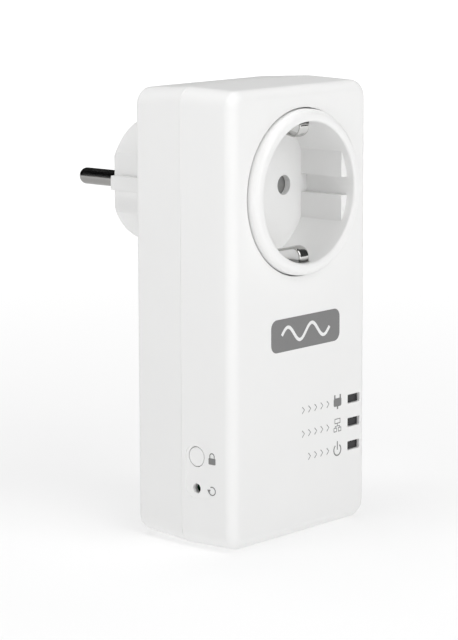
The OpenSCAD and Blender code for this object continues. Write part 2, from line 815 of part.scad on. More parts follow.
chip_at = [-3, -50];
module powerline_chip() { color([0.1, 0.1, 0.1]) on_front(chip_at, [12, 12], 0.9); }
module thermal_pad() {
  color("lightsteelblue") translate([0, -0.9, 0]) on_front(chip_at, [11, 11], 0.6);
}

// Finned block that stands on the pad
module heat_sink() {
  base_y = board_y0 - 1.5;
  w = 20;
  color("darkgray") {
    slab([chip_at[0] - w / 2, base_y - 1.5, chip_at[1] - w / 2],
         [chip_at[0] + w / 2, base_y, chip_at[1] + w / 2]);
    for (i = [0:6])
      translate([chip_at[0] - w / 2 + i * (w - 1) / 6, base_y - 7, chip_at[1] - w / 2])
        cube([1, 5.5 + eps, w]);
  }
}
module memory_chip() { color([0.1, 0.1, 0.1]) on_front([-16.5, -66], [5.3, 8], 1.75); }
module crystal() { color("silver") on_front([13, -66], [3.2, 5], 1); }

module housing_screws() {
  color("silver") for (at = housing_screw_at) screw_y(at, y_back - 7, 2.3, 1.5, 1.2, 20.5);
}

front_housing();
rear_cover();
plug_insert();
plug_pin_left();
plug_pin_right();
plug_earth_strip_upper();
plug_earth_strip_lower();
socket_insert();
socket_shutter();
shutter_spring();
contact_carrier();
contact_sleeve_left();
contact_sleeve_right();
earth_bridge();
earth_clip_upper();
earth_clip_lower();
earth_link();
live_busbar();
neutral_busbar();
main_circuit_board();
ethernet_jack();
ethernet_jack_shield();
ethernet_contacts();
ethernet_transformer();
security_button();
security_switch();
security_switch_plunger();
reset_switch();
reset_switch_plunger();
link_window();
ethernet_window();
power_window();
light_guide();
indicator_leds();
transformer_core();
transformer_winding();
primary_capacitor();
output_capacitors();
interference_capacitor();
fuse();
varistor();
mains_choke();
coupling_transformer();
bridge_rectifier();
optocoupler();
powerline_chip();
thermal_pad();
heat_sink();
memory_chip();
crystal();
housing_screws();
socket_screws();
carrier_screws();
plug_screws();
board_screws();
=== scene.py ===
"""Looks of the powerline adapter: skins with rounded edges, printed marks, materials, light, camera."""

import json
import math

import bmesh
import bpy
from mathutils import Matrix, Vector


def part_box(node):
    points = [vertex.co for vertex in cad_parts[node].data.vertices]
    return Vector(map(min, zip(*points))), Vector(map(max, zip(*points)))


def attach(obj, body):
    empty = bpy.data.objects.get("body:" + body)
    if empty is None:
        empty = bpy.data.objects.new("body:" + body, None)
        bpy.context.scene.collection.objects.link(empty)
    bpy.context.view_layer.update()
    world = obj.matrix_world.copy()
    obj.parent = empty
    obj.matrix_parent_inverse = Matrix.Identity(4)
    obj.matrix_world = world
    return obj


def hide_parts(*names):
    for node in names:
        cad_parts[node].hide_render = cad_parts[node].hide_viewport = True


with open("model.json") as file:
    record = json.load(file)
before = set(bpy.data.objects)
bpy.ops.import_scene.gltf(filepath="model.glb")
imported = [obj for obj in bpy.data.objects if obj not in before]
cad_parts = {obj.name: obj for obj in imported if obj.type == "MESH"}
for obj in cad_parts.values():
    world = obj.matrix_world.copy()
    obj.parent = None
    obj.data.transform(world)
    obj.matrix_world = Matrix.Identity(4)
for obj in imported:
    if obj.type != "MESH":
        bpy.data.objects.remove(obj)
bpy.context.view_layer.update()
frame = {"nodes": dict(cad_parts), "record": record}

MM = 0.001
HOUSING = "housing"

# ---------------------------------------------------------------- levels read from the frame, in mm


def box_mm(node):
    """Lowest and highest corner of a node's box, in mm."""
    low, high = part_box(node)
    return low / MM, high / MM


FRONT_LO, FRONT_HI = box_mm("front_housing")
REAR_LO, REAR_HI = box_mm("rear_cover")
INSERT_LO = box_mm("socket_insert")[0]
PLUG_LO = box_mm("plug_insert")[0]

SIDE_X = FRONT_HI.x
Z_TOP = FRONT_HI.z
Z_BOTTOM = FRONT_LO.z
Y_FACE = FRONT_LO.y
Y_PART = REAR_LO.y
Y_BACK = REAR_HI.y

# Housing: the same driving sizes as the CAD shells, in mm
WALL = 2.0
CORNER_R = 5.0
FRONT_EDGE_R = 3.2
REAR_EDGE_R = 1.5
FRONT_DRAFT, FRONT_DRAFT_TOP = 0.4, 0.5
REAR_DRAFT, REAR_DRAFT_Z = 1.2, 1.05
SEAM = 0.14
TONGUE_OUT = 1.05
REBATE = 1.0
RIM_R = 23.2
RIM_GAP = 0.35
COLLAR_R = 18.25

# ---------------------------------------------------------------- mesh helpers


def mesh_object(name, verts, faces):
    """Closed mesh from points in mm, with its faces turned outwards."""
    mesh = bpy.data.meshes.new(name)
    mesh.from_pydata([tuple(c * MM for c in v) for v in verts], [], faces)
    obj = bpy.data.objects.new(name, mesh)
    bpy.context.scene.collection.objects.link(obj)
    bm = bmesh.new()
    bm.from_mesh(mesh)
    bmesh.ops.recalc_face_normals(bm, faces=bm.faces)
    bm.to_mesh(mesh)
    bm.free()
    return obj


def loft(name, loops, closed=False):
    """Skin over a list of equal loops, capped at both ends or closed into a ring of loops."""
    count = len(loops[0])
    verts = [v for loop in loops for v in loop]
    faces = []
    pairs = len(loops) if closed else len(loops) - 1
    for i in range(pairs):
        a, b = i * count, ((i + 1) % len(loops)) * count
        for k in range(count):
            n = (k + 1) % count
            faces.append((a + k, a + n, b + n, b + k))
    if not closed:
        faces.append(tuple(range(count)))
        faces.append(tuple(range((len(loops) - 1) * count, len(loops) * count)))
    return mesh_object(name, verts, faces)


def prism(name, outline, axis, start, end):
    """Outline pushed along an axis: (u, v) is (x, z) for 'y', (y, z) for 'x' and (x, y) for 'z'."""
    place = {
        "y": lambda u, v, d: (u, d, v),
        "x": lambda u, v, d: (d, u, v),
        "z": lambda u, v, d: (u, v, d),
    }[axis]
    return loft(name, [[place(u, v, d) for u, v in outline] for d in (start, end)])


def circle(r, centre=(0.0, 0.0), steps=96):
    """Circle as a list of (u, v)."""
    turn = 2 * math.pi / steps
    return [(centre[0] + r * math.cos(i * turn), centre[1] + r * math.sin(i * turn)) for i in range(steps)]


def rectangle(u0, u1, v0, v1):
    """Rectangle as a list of (u, v)."""
    return [(u0, v0), (u1, v0), (u1, v1), (u0, v1)]


def rounded(u0, u1, v0, v1, r, steps=10):
    """Rectangle with round corners, as a list of (u, v)."""
    points = []
    corners = ((u1 - r, v1 - r, 0), (u0 + r, v1 - r, 90), (u0 + r, v0 + r, 180), (u1 - r, v0 + r, 270))
    for cu, cv, start in corners:
        for i in range(steps + 1):
            a = math.radians(start + 90 * i / steps)
            points.append((cu + r * math.cos(a), cv + r * math.sin(a)))
    return points


def revolve(name, profile, centre=(0.0, 0.0), steps=160):
    """Solid of revolution about a line along Y; the profile is a closed list of (radius, y)."""
    loops = []
    for i in range(steps):
        a = 2 * math.pi * i / steps
        loops.append([(centre[0] + r * math.cos(a), y, centre[1] + r * math.sin(a)) for r, y in profile])
    return loft(name, loops, closed=True)


def evaluate(obj):
    """Applies every modifier of a new piece."""
    graph = bpy.context.evaluated_depsgraph_get()
    mesh = bpy.data.meshes.new_from_object(obj.evaluated_get(graph), depsgraph=graph)
    obj.modifiers.clear()
    old = obj.data
    obj.data = mesh
    bpy.data.meshes.remove(old)


def combine(target, tools, operation):
    """Boolean of a piece with each tool in turn; the tools are used up."""
    for tool in tools:
        step = target.modifiers.new("step", "BOOLEAN")
        step.object = tool
        step.operation = operation
        step.solver = "EXACT"
        evaluate(target)
        bpy.data.objects.remove(tool)
    return target


def cut(target, *tools):
    return combine(target, tools, "DIFFERENCE")


def add(target, *tools):
    return combine(target, tools, "UNION")


def tidy_mesh(obj):
    """Merges doubled points left by booleans and dissolves slivers on flat faces."""
    bm = bmesh.new()
    bm.from_mesh(obj.data)
    bmesh.ops.remove_doubles(bm, verts=bm.verts, dist=0.002 * MM)
    bmesh.ops.dissolve_degenerate(bm, dist=0.002 * MM, edges=bm.edges)
    bm.to_mesh(obj.data)
    bm.free()


def soften(obj, width, angle=40, segments=2):
    """Rounds the sharp edges and smooths the rest."""
    tidy_mesh(obj)
    for face in obj.data.polygons:
        face.use_smooth = True
    bevel = obj.modifiers.new("edges", "BEVEL")
    bevel.width = width * MM
    bevel.segments = segments
    bevel.limit_method = "ANGLE"
    bevel.angle_limit = math.radians(angle)
    bevel.miter_outer = "MITER_ARC"
    bevel.harden_normals = False
    weighted = obj.modifiers.new("normals", "WEIGHTED_NORMAL")
    weighted.keep_sharp = True
    weighted.weight = 50
    return obj


def finish_piece(obj, material, body, nodes=()):
    """Gives a piece its material and body, and hides the CAD nodes that it stands in for."""
    obj.data.materials.clear()
    obj.data.materials.append(material)
    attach(obj, body)
    if nodes:
        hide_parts(*nodes)
    return obj


# ---------------------------------------------------------------- materials


class Recipe:
    """A material's node tree, built a node at a time."""

    def __init__(self, name, colour, rough, metal=0.0):
        self.material = bpy.data.materials.new(name)
        self.material.use_nodes = True
        self.nodes = self.material.node_tree.nodes
        self.links = self.material.node_tree.links
        self.shader = self.nodes["Principled BSDF"]
        self.set("Base Color", (*colour, 1.0))
        self.set("Roughness", rough)
        self.set("Metallic", metal)
        self.colour = colour
        self.rough = rough
        self.coords = self.nodes.new("ShaderNodeTexCoord").outputs["Object"]

    def set(self, socket, value):
        self.shader.inputs[socket].default_value = value

    def noise(self, scale, detail=3.0, stretch=(1, 1, 1)):
        """Noise whose scale is in features per metre."""
        mapping = self.nodes.new("ShaderNodeMapping")
        mapping.inputs["Scale"].default_value = stretch
        self.links.new(self.coords, mapping.inputs["Vector"])
        texture = self.nodes.new("ShaderNodeTexNoise")
        texture.inputs["Scale"].default_value = scale
        texture.inputs["Detail"].default_value = detail
        self.links.new(mapping.outputs["Vector"], texture.inputs["Vector"])
        return texture.outputs["Fac"]

    def remap(self, value, low, high):
        node = self.nodes.new("ShaderNodeMapRange")
        node.inputs["From Min"].default_value = 0.3
        node.inputs["From Max"].default_value = 0.7
        node.inputs["To Min"].default_value = low
        node.inputs["To Max"].default_value = high
        self.links.new(value, node.inputs["Value"])
        return node.outputs["Result"]

    def vary_colour(self, value, amount, tint=(1.0, 1.0, 1.0)):
        """Shades the colour between a darker and a lighter mix of itself."""
        mix = self.nodes.new("ShaderNodeMix")
        mix.data_type = "RGBA"
        darker = [max(0.0, c * (1 - amount)) for c in self.colour]
        lighter = [min(1.0, c * (1 + amount) * t) for c, t in zip(self.colour, tint)]
        mix.inputs["A"].default_value = (*darker, 1.0)
        mix.inputs["B"].default_value = (*lighter, 1.0)
        self.links.new(value, mix.inputs["Factor"])
        self.links.new(mix.outputs["Result"], self.shader.inputs["Base Color"])

    def vary_rough(self, value, spread):
        self.links.new(
            self.remap(value, max(0.02, self.rough - spread), min(1.0, self.rough + spread)),
            self.shader.inputs["Roughness"],
        )

    def bump(self, value, height_mm, edge_mm=0.0):
        """Surface grain of a given height, over edges rounded by edge_mm."""
        bump = self.nodes.new("ShaderNodeBump")
        bump.inputs["Strength"].default_value = 1.0
        bump.inputs["Distance"].default_value = height_mm * MM
        self.links.new(value, bump.inputs["Height"])
        if edge_mm:
            bevel = self.nodes.new("ShaderNodeBevel")
            bevel.samples = 4
            bevel.inputs["Radius"].default_value = edge_mm * MM
            self.links.new(bevel.outputs["Normal"], bump.inputs["Normal"])
        self.links.new(bump.outputs["Normal"], self.shader.inputs["Normal"])


def plastic(name, colour, rough, grain=9000, grain_mm=0.0016, spread=0.05, edge=0.0, specular=0.5):
    """Moulded plastic: a fine mould texture, faint flow marks and uneven gloss."""
    r = Recipe(name, colour, rough)
    r.set("Specular IOR Level", specular)
    r.vary_colour(r.noise(60, 4.0), 0.012)
    r.vary_rough(r.noise(400, 5.0), spread)
    r.bump(r.noise(grain, 2.0), grain_mm, edge)
    return r.material


def metal(name, colour, rough, stretch=(1, 1, 1), grain=6000, grain_mm=0.001, edge=0.0, spread=0.06):
    """Plated or rolled metal, with grain drawn out along one direction."""
    r = Recipe(name, colour, rough, 1.0)
    r.vary_colour(r.noise(500, 4.0), 0.05, (1.0, 0.99, 0.97))
    r.vary_rough(r.noise(grain * 0.5, 4.0, stretch), spread)
    r.bump(r.noise(grain, 3.0, stretch), grain_mm, edge)
    return r.material


def ink(name, colour):
    """Pad-printed ink: slightly uneven in tone and gloss."""
    r = Recipe(name, colour, 0.55)
    r.vary_colour(r.noise(3000, 3.0), 0.05)
    r.vary_rough(r.noise(5000, 3.0), 0.08)
    r.bump(r.noise(12000, 2.0), 0.0008)
    return r.material


def smoked(name):
    """Dark polished window with a faint mottle beneath its surface."""
    r = Recipe(name, (0.022, 0.022, 0.023), 0.24)
    r.set("Specular IOR Level", 0.35)
    r.vary_colour(r.noise(2500, 3.0), 0.25)
    r.bump(r.noise(1500, 2.0), 0.0012)
    return r.material


def board_mask(name):
    """Solder mask with the shadow of copper traces beneath it."""
    r = Recipe(name, (0.02, 0.16, 0.06), 0.32)
    wave = r.nodes.new("ShaderNodeTexBrick")
    wave.inputs["Scale"].default_value = 420
    wave.inputs["Mortar Size"].default_value = 0.035
    wave.inputs["Color1"].default_value = (0.018, 0.15, 0.055, 1)
    wave.inputs["Color2"].default_value = (0.022, 0.17, 0.065, 1)
    wave.inputs["Mortar"].default_value = (0.05, 0.3, 0.11, 1)
    turn = r.nodes.new("ShaderNodeMapping")
    turn.inputs["Rotation"].default_value = (math.radians(90), 0, 0)
    r.links.new(r.coords, turn.inputs["Vector"])
    r.links.new(turn.outputs["Vector"], wave.inputs["Vector"])
    r.links.new(wave.outputs["Color"], r.shader.inputs["Base Color"])
    r.vary_rough(r.noise(900, 3.0), 0.08)
    r.bump(r.noise(3000, 2.0), 0.002)
    return r.material


def clear(name, colour, transmission):
    """Clear plastic that lets through the given share of light."""
    r = Recipe(name, colour, 0.08)
    r.set("Transmission Weight", transmission)
    r.set("IOR", 1.49)
    r.vary_rough(r.noise(800, 2.0), 0.03)
    r.bump(r.noise(2000, 2.0), 0.0008)
    return r.material


WHITE = (0.835, 0.835, 0.83)
MATERIALS = {
    "housing_white": plastic("housing_white", WHITE, 0.46, specular=0.3),
    "plug_white": plastic("plug_white", (0.82, 0.82, 0.815), 0.42, edge=0.25, specular=0.35),
    "socket_white": plastic(
        "socket_white", (0.84, 0.84, 0.835), 0.38, specular=0.4, grain_mm=0.0004, spread=0.012,
    ),
    "button_white": plastic("button_white", WHITE, 0.36, edge=0.2),
    "shutter_grey": plastic("shutter_grey", (0.24, 0.24, 0.235), 0.42, edge=0.15),
    "carrier_grey": plastic("carrier_grey", (0.36, 0.36, 0.35), 0.5, edge=0.2),
    "nickel": metal("nickel", (0.33, 0.327, 0.32), 0.2, (1, 0.05, 1)),
    "clip_steel": metal("clip_steel", (0.6, 0.6, 0.595), 0.16, (1, 0.1, 0.1), spread=0.05),
    "spring_steel": metal("spring_steel", (0.52, 0.52, 0.51), 0.3, (1, 0.1, 0.1), edge=0.1),
    "contact_brass": metal("contact_brass", (0.7, 0.47, 0.2), 0.28, (1, 0.1, 1), edge=0.1),
    "gold_contact": metal("gold_contact", (0.8, 0.55, 0.2), 0.2, (1, 1, 0.1)),
    "jack_shield": metal("jack_shield", (0.6, 0.6, 0.59), 0.28, (1, 1, 0.1), edge=0.1),
    "heat_sink_aluminium": metal("heat_sink_aluminium", (0.5, 0.5, 0.52), 0.38, (1, 1, 0.08), edge=0.1),
    "screw_steel": metal("screw_steel", (0.5, 0.5, 0.49), 0.3, edge=0.12),
    "board_green": board_mask("board_green"),
    "jack_black": plastic("jack_black", (0.03, 0.03, 0.03), 0.45, edge=0.1),
    "chip_black": plastic("chip_black", (0.025, 0.025, 0.027), 0.55, 6000, 0.003, edge=0.12),
    "switch_black": plastic("switch_black", (0.04, 0.04, 0.04), 0.4, edge=0.12),
    "plunger_grey": plastic("plunger_grey", (0.12, 0.12, 0.12), 0.4, edge=0.12),
    "smoked_window": smoked("smoked_window"),
    "clear_guide": clear("clear_guide", (0.9, 0.93, 0.95), 0.85),
    "led_white": clear("led_white", (0.85, 0.83, 0.6), 0.25),
    "ferrite": plastic("ferrite", (0.045, 0.045, 0.05), 0.6, 4000, 0.004, edge=0.2),
    "winding_tape": plastic("winding_tape", (0.72, 0.46, 0.05), 0.22, 2500, 0.004, edge=0.3),
    "capacitor_sleeve": plastic("capacitor_sleeve", (0.015, 0.02, 0.07), 0.25, 2500, 0.002, edge=0.3),
    "capacitor_yellow": plastic("capacitor_yellow", (0.7, 0.42, 0.04), 0.42, edge=0.3),
    "fuse_brown": plastic("fuse_brown", (0.14, 0.045, 0.02), 0.4, edge=0.3),
    "varistor_blue": plastic("varistor_blue", (0.02, 0.08, 0.34), 0.35, 2500, 0.006, edge=0.8),
    "choke_green": plastic("choke_green", (0.02, 0.12, 0.05), 0.5, edge=0.2),
    "optocoupler_white": plastic("optocoupler_white", (0.75, 0.75, 0.72), 0.5, edge=0.15),
    "pad_blue": plastic("pad_blue", (0.26, 0.42, 0.62), 0.75, 3000, 0.004),
}

SLOT_OF = {entry["node"]: entry["material_slot"] for entry in frame["record"]["subparts"]}
for name, node in frame["nodes"].items():
    node.data.materials.clear()
    node.data.materials.append(MATERIALS[SLOT_OF[name]])

INK_GREY = ink("ink_grey", (0.2, 0.2, 0.2))
INK_WHITE = ink("ink_white", (0.82, 0.82, 0.82))
COPPER = metal("copper_wire", (0.66, 0.3, 0.14), 0.3, spread=0.08)

# ---------------------------------------------------------------- housing skins


def section(y, inset, front, rear):
    """Loop of the housing at depth y, set in by inset, with a share of each shell's draft."""
    half = SIDE_X - inset - FRONT_DRAFT * front - REAR_DRAFT * rear
    top = Z_TOP - inset - FRONT_DRAFT_TOP * front - REAR_DRAFT_Z * rear
    bottom = Z_BOTTOM + inset + FRONT_DRAFT * front + REAR_DRAFT_Z * rear
    return [(x, y, z) for x, z in rounded(-half, half, bottom, top, max(CORNER_R - inset, 0.8), 14)]


def fillet(radius, steps=10):
    """Pairs of (how far in, how far short of the face) round an edge."""
    for i in range(steps + 1):
        a = math.radians(90 * i / steps)
        yield radius * (1 - math.cos(a)), radius * (1 - math.sin(a))


def front_share(y):
    """How far y is from the parting line towards the face, from 0 to 1."""
    return (Y_PART - y) / (Y_PART - Y_FACE)


def rear_share(y):
    """How far y is from the parting line towards the back, from 0 to 1."""
    return (y - Y_PART) / (Y_BACK - Y_PART)


def rod(axis, r, start, end, centre, steps=64):
    """Round bar along an axis."""
    return prism("rod", circle(r, centre, steps), axis, start, end)


def window_opening(node):
    """Edges of a window's opening in the face: x0, x1, z0, z1, inside the window's flange."""
    low, high = box_mm(node)
    return low.x + WINDOW_FLANGE, high.x - WINDOW_FLANGE, low.z + WINDOW_FLANGE, high.z - WINDOW_FLANGE


WINDOWS = ("link_window", "ethernet_window", "power_window")
WINDOW_FLANGE = 0.7
BUTTON_LO, BUTTON_HI = box_mm("security_button")
CONTROL_Y = (BUTTON_LO.y + BUTTON_HI.y) / 2
BUTTON_Z = (BUTTON_LO.z + BUTTON_HI.z) / 2
RESET_LO, RESET_HI = box_mm("reset_switch_plunger")
RESET_Z = (RESET_LO.z + RESET_HI.z) / 2
BUTTON_HOLE_R = 2.9
PINHOLE_R = 1.4
RECESS_X = -SIDE_X + 0.28
JACK_LO, JACK_HI = box_mm("ethernet_jack_shield")


def screw_places(node):
    """Centres (x, z) of the four screws along Y, one in each quarter of a node's box."""
    low, high = box_mm(node)
    points = [v.co / MM for v in frame["nodes"][node].data.vertices]
    places = []
    for right in (False, True):
        for up in (False, True):
            quarter = [
                p for p in points
                if (p.x > (low.x + high.x) / 2) == right and (p.z > (low.z + high.z) / 2) == up
            ]
            xs, zs = [p.x for p in quarter], [p.z for p in quarter]
            places.append(((min(xs) + max(xs)) / 2, (min(zs) + max(zs)) / 2))
    return places


HOUSING_SCREWS = screw_places("housing_screws")
SOCKET_SCREWS = screw_places("socket_screws")
BOARD_SCREWS = screw_places("board_screws")
PLUG_SCREWS = screw_places("plug_screws")
Y_FLANGE = INSERT_LO.y + 9
Y_BOARD = box_mm("main_circuit_board")[0].y

# Bosses and tubes for the screws, and the holes in them: radii in mm
HOUSING_BOSS_R, HOUSING_PILOT_R, HOUSING_PILOT_L = 2.8, 1.25, 10.5
SOCKET_BOSS_R, BOARD_BOSS_R, PLUG_BOSS_R = 2.1, 2.3, 2.3
PILOT_R, SOCKET_PILOT_L, BOARD_PILOT_L = 1.05, 4.5, 5.5
TUBE_R, SHANK_HOLE_R, HEAD_POCKET_R, HEAD_POCKET_L = 2.9, 1.45, 2.45, 7
EDGE_SOFTENING = 0.14


def front_skin():
    """Front shell with its screw bosses and its openings."""
    y_tongue = FRONT_HI.y
    loops = [
        section(Y_PART, TONGUE_OUT, 0, 0),
        section(Y_PART, SEAM, 0, 0),
        section(Y_PART - SEAM, 0, 0.01, 0),
    ]
    for inset, short in fillet(FRONT_EDGE_R):
        y = Y_FACE + short
        loops.append(section(y, inset, front_share(y), 0))
    inner = [
        section(Y_FACE + WALL, WALL, 0.9, 0),
        section(y_tongue, WALL, 0, 0),
        section(y_tongue, TONGUE_OUT, 0, 0),
    ]
    shell = hollow("front_shell", loops, inner)
    bosses = [rod("y", HOUSING_BOSS_R, Y_FACE + 1, Y_PART, at, 48) for at in HOUSING_SCREWS]
    bosses += [rod("y", SOCKET_BOSS_R, Y_FACE + 1, Y_FLANGE, at, 48) for at in SOCKET_SCREWS]
    bosses += [rod("y", BOARD_BOSS_R, Y_FACE + 1, Y_BOARD, at, 48) for at in BOARD_SCREWS]
    guide_end = -SIDE_X + WALL + 0.7
    bosses.append(rod("x", BUTTON_HOLE_R + 1, -SIDE_X + 1, guide_end, (CONTROL_Y, BUTTON_Z), 48))
    add(shell, *bosses)
    tools = [rod("y", RIM_R + RIM_GAP, Y_FACE - 1, Y_FACE + WALL + 1, (0, 0), 160)]
    for node in WINDOWS:
        x0, x1, z0, z1 = window_opening(node)
        tools.append(prism("tool", rounded(x0, x1, z0, z1, 0.25, 4), "y", Y_FACE - 1, Y_FACE + WALL + 1))
    for places, r, length, end in (
        (HOUSING_SCREWS, HOUSING_PILOT_R, HOUSING_PILOT_L, Y_PART),
        (SOCKET_SCREWS, PILOT_R, SOCKET_PILOT_L, Y_FLANGE),
        (BOARD_SCREWS, PILOT_R, BOARD_PILOT_L, Y_BOARD),
    ):
        tools += [rod("y", r, end - length, end + 1, at, 32) for at in places]
    tools.append(rod("x", BUTTON_HOLE_R, -SIDE_X - 1, -SIDE_X + 4, (CONTROL_Y, BUTTON_Z), 72))
    tools.append(rod("x", PINHOLE_R, -SIDE_X - 1, -SIDE_X + 4, (CONTROL_Y, RESET_Z), 48))
    recess = rounded(CONTROL_Y - 6.6, CONTROL_Y + 3.9, RESET_Z - 2.7, BUTTON_Z + 3.1, 3)
    tools.append(prism("tool", recess, "x", -SIDE_X - 1, RECESS_X))
    port = rounded(JACK_LO.x + 1.3, JACK_HI.x - 1.3, JACK_LO.y + 1, JACK_HI.y - 0.8, 0.4, 4)
    tools.append(prism("tool", port, "z", Z_BOTTOM - 1, Z_BOTTOM + WALL + 1))
    cut(shell, *tools)
    soften(shell, EDGE_SOFTENING)
    return finish_piece(shell, MATERIALS["housing_white"], HOUSING, ["front_housing"])


def hollow(name, outer, inner):
    """Shell with an outer skin from its rim to its face, and an inner skin back to the rim."""
    loops = outer + inner
    count = len(loops[0])
    verts = [v for loop in loops for v in loop]
    faces = []
    last_outer = len(outer) - 1
    for i in range(len(loops)):
        if i == last_outer:
            continue
        a, b = i * count, ((i + 1) % len(loops)) * count
        for k in range(count):
            n = (k + 1) % count
            faces.append((a + k, a + n, b + n, b + k))
    for i in (last_outer, last_outer + 1):
        faces.append(tuple(range(i * count, (i + 1) * count)))
    return mesh_object(name, verts, faces)


def rear_skin():
    """Rear shell with its screw tubes and the plug body's opening."""
    step_y = Y_PART + 1.7
    loops = [
        section(Y_PART, REBATE, 0, 0),
        section(Y_PART, SEAM, 0, 0),
        section(Y_PART + SEAM, 0, 0, 0.01),
    ]
    for inset, short in fillet(REAR_EDGE_R, 6):
        y = Y_BACK - short
        loops.append(section(y, inset, 0, rear_share(y)))
    inner = [
        section(Y_BACK - WALL, WALL, 0, 0.95),
        section(step_y, WALL, 0, rear_share(step_y)),
        section(step_y, REBATE, 0, 0),
    ]
    shell = hollow("rear_shell", loops, inner)
    tubes = [rod("y", TUBE_R, Y_PART + 0.2, Y_BACK - 1, at, 48) for at in HOUSING_SCREWS]
    tubes += [rod("y", PLUG_BOSS_R, PLUG_LO.y + 1.6, Y_BACK - 1, at, 48) for at in PLUG_SCREWS]
    add(shell, *tubes)
    tools = [rod("y", COLLAR_R + 0.08, Y_BACK - WALL - 1, Y_BACK + 1, (0, 0), 160)]
    for at in HOUSING_SCREWS:
        tools.append(rod("y", SHANK_HOLE_R, Y_PART - 1, Y_BACK, at, 32))
        tools.append(rod("y", HEAD_POCKET_R, Y_BACK - HEAD_POCKET_L, Y_BACK + 1, at, 48))
    tools += [rod("y", PILOT_R, PLUG_LO.y, Y_BACK - 0.8, at, 32) for at in PLUG_SCREWS]
    cut(shell, *tools)
    soften(shell, EDGE_SOFTENING)
    return finish_piece(shell, MATERIALS["housing_white"], HOUSING, ["rear_cover"])


front_skin()
rear_skin()

# ---------------------------------------------------------------- printed marks

INK_T = 0.02


def join(name, parts):
    """Joins new pieces into one object."""
    bm = bmesh.new()
    for part in parts:
        bm.from_mesh(part.data)
        bpy.data.objects.remove(part)
    mesh = bpy.data.meshes.new(name)
    bm.to_mesh(mesh)
    bm.free()
    obj = bpy.data.objects.new(name, mesh)
    bpy.context.scene.collection.objects.link(obj)
    return obj


def stroke(points, width):
    """Outline of a line of constant width through (u, v) points, with square ends."""
    left, right = [], []
    for i, p in enumerate(points):
        a, b = points[max(i - 1, 0)], points[min(i + 1, len(points) - 1)]
        du, dv = b[0] - a[0], b[1] - a[1]
        size = math.hypot(du, dv)
        nu, nv = -dv / size * width / 2, du / size * width / 2
        left.append((p[0] + nu, p[1] + nv))
        right.append((p[0] - nu, p[1] - nv))
    return left + right[::-1]


def arc_points(centre, r, a0, a1, steps=24):
    """Points along an arc from a0 to a1 degrees, both ends included."""
    return [
        (centre[0] + r * math.cos(math.radians(a0 + (a1 - a0) * i / steps)),
         centre[1] + r * math.sin(math.radians(a0 + (a1 - a0) * i / steps)))
        for i in range(steps + 1)
    ]


def print_on_face(name, outlines, material, lift=INK_T):
    """Thin print on the front face, from outlines of (x, z)."""
    parts = [prism("print", outline, "y", Y_FACE - lift, Y_FACE + 0.01) for outline in outlines]
    return finish_piece(join(name, parts), material, HOUSING)


def print_on_side(name, outlines):
    """Thin print on the left side of the front shell, from outlines of (y, z), tilted with its draft."""
    parts = [prism("print", outline, "x", -INK_T, 0.01) for outline in outlines]
    obj = join(name, parts)
    slope = FRONT_DRAFT / (Y_PART - Y_FACE)
    for v in obj.data.vertices:
        y = v.co.y / MM
        v.co.x += (-SIDE_X + slope * (Y_PART - y)) * MM
    return finish_piece(obj, INK_GREY, HOUSING)


def badge():
    """Plain grey plate with a plain wave across it."""
    cx, cz, w, h = 1.75, -39.35, 30.2, 9.3
    plate = rounded(cx - w / 2, cx + w / 2, cz - h / 2, cz + h / 2, 2.4)
    print_on_face("badge_plate", [plate], INK_GREY)
    span, swing = 21.0, 2.1
    wave = [
        (cx - span / 2 + span * i / 60, cz + swing * math.sin(4 * math.pi * i / 60))
        for i in range(61)
    ]
    print_on_face("badge_wave", [stroke(wave, 0.95)], INK_WHITE, INK_T * 2)


def indicator_marks():
    """A pictogram beside each window, and chevrons that point at it."""
    heights = [(box_mm(n)[0].z + box_mm(n)[1].z) / 2 for n in WINDOWS]
    x = 16.1
    z = heights[0]
    plug = [
        rounded(x - 1.75, x + 1.75, z - 1.3, z + 1.1, 0.5, 4),
        rectangle(x - 1.55, x - 0.95, z + 1.0, z + 2.1),
        rectangle(x + 0.95, x + 1.55, z + 1.0, z + 2.1),
        rectangle(x - 0.3, x + 0.3, z - 2.1, z - 1.2),
    ]
    print_on_face("icon_link", plug, INK_GREY)
    z = heights[1]
    line = 0.24

    def frame_outline(cx, cz, w, h):
        left, right, low, high = cx - w / 2, cx + w / 2, cz - h / 2, cz + h / 2
        return [
            rectangle(left, right, high - line, high),
            rectangle(left, right, low, low + line),
            rectangle(left, left + line, low + line, high - line),
            rectangle(right - line, right, low + line, high - line),
        ]

    network = frame_outline(x, z + 1.25, 2.6, 1.5)
    network += frame_outline(x - 1.0, z - 1.25, 1.4, 1.3) + frame_outline(x + 1.0, z - 1.25, 1.4, 1.3)
    network += [
        rectangle(x - line / 2, x + line / 2, z - 0.1, z + 0.5),
        rectangle(x - 1.0 - line / 2, x + 1.0 + line / 2, z - 0.3, z - 0.1),
        rectangle(x - 1.0 - line / 2, x - 1.0 + line / 2, z - 0.6, z - 0.3),
        rectangle(x + 1.0 - line / 2, x + 1.0 + line / 2, z - 0.6, z - 0.3),
    ]
    print_on_face("icon_network", network, INK_GREY)
    z = heights[2]
    power = [
        stroke(arc_points((x, z - 0.35), 1.6, 125, 415, 36), 0.42),
        rectangle(x - 0.21, x + 0.21, z - 0.3, z + 2.2),
    ]
    print_on_face("icon_power", power, INK_GREY)
    for label, z, count in zip(("link", "network", "power"), heights, (5, 5, 4)):
        chevrons = []
        for i in range(count):
            tip = 12.2 - 2.75 * i
            chevrons.append(stroke([(tip - 0.95, z + 0.95), (tip, z), (tip - 0.95, z - 0.95)], 0.27))
        print_on_face("chevrons_" + label, chevrons, INK_GREY)


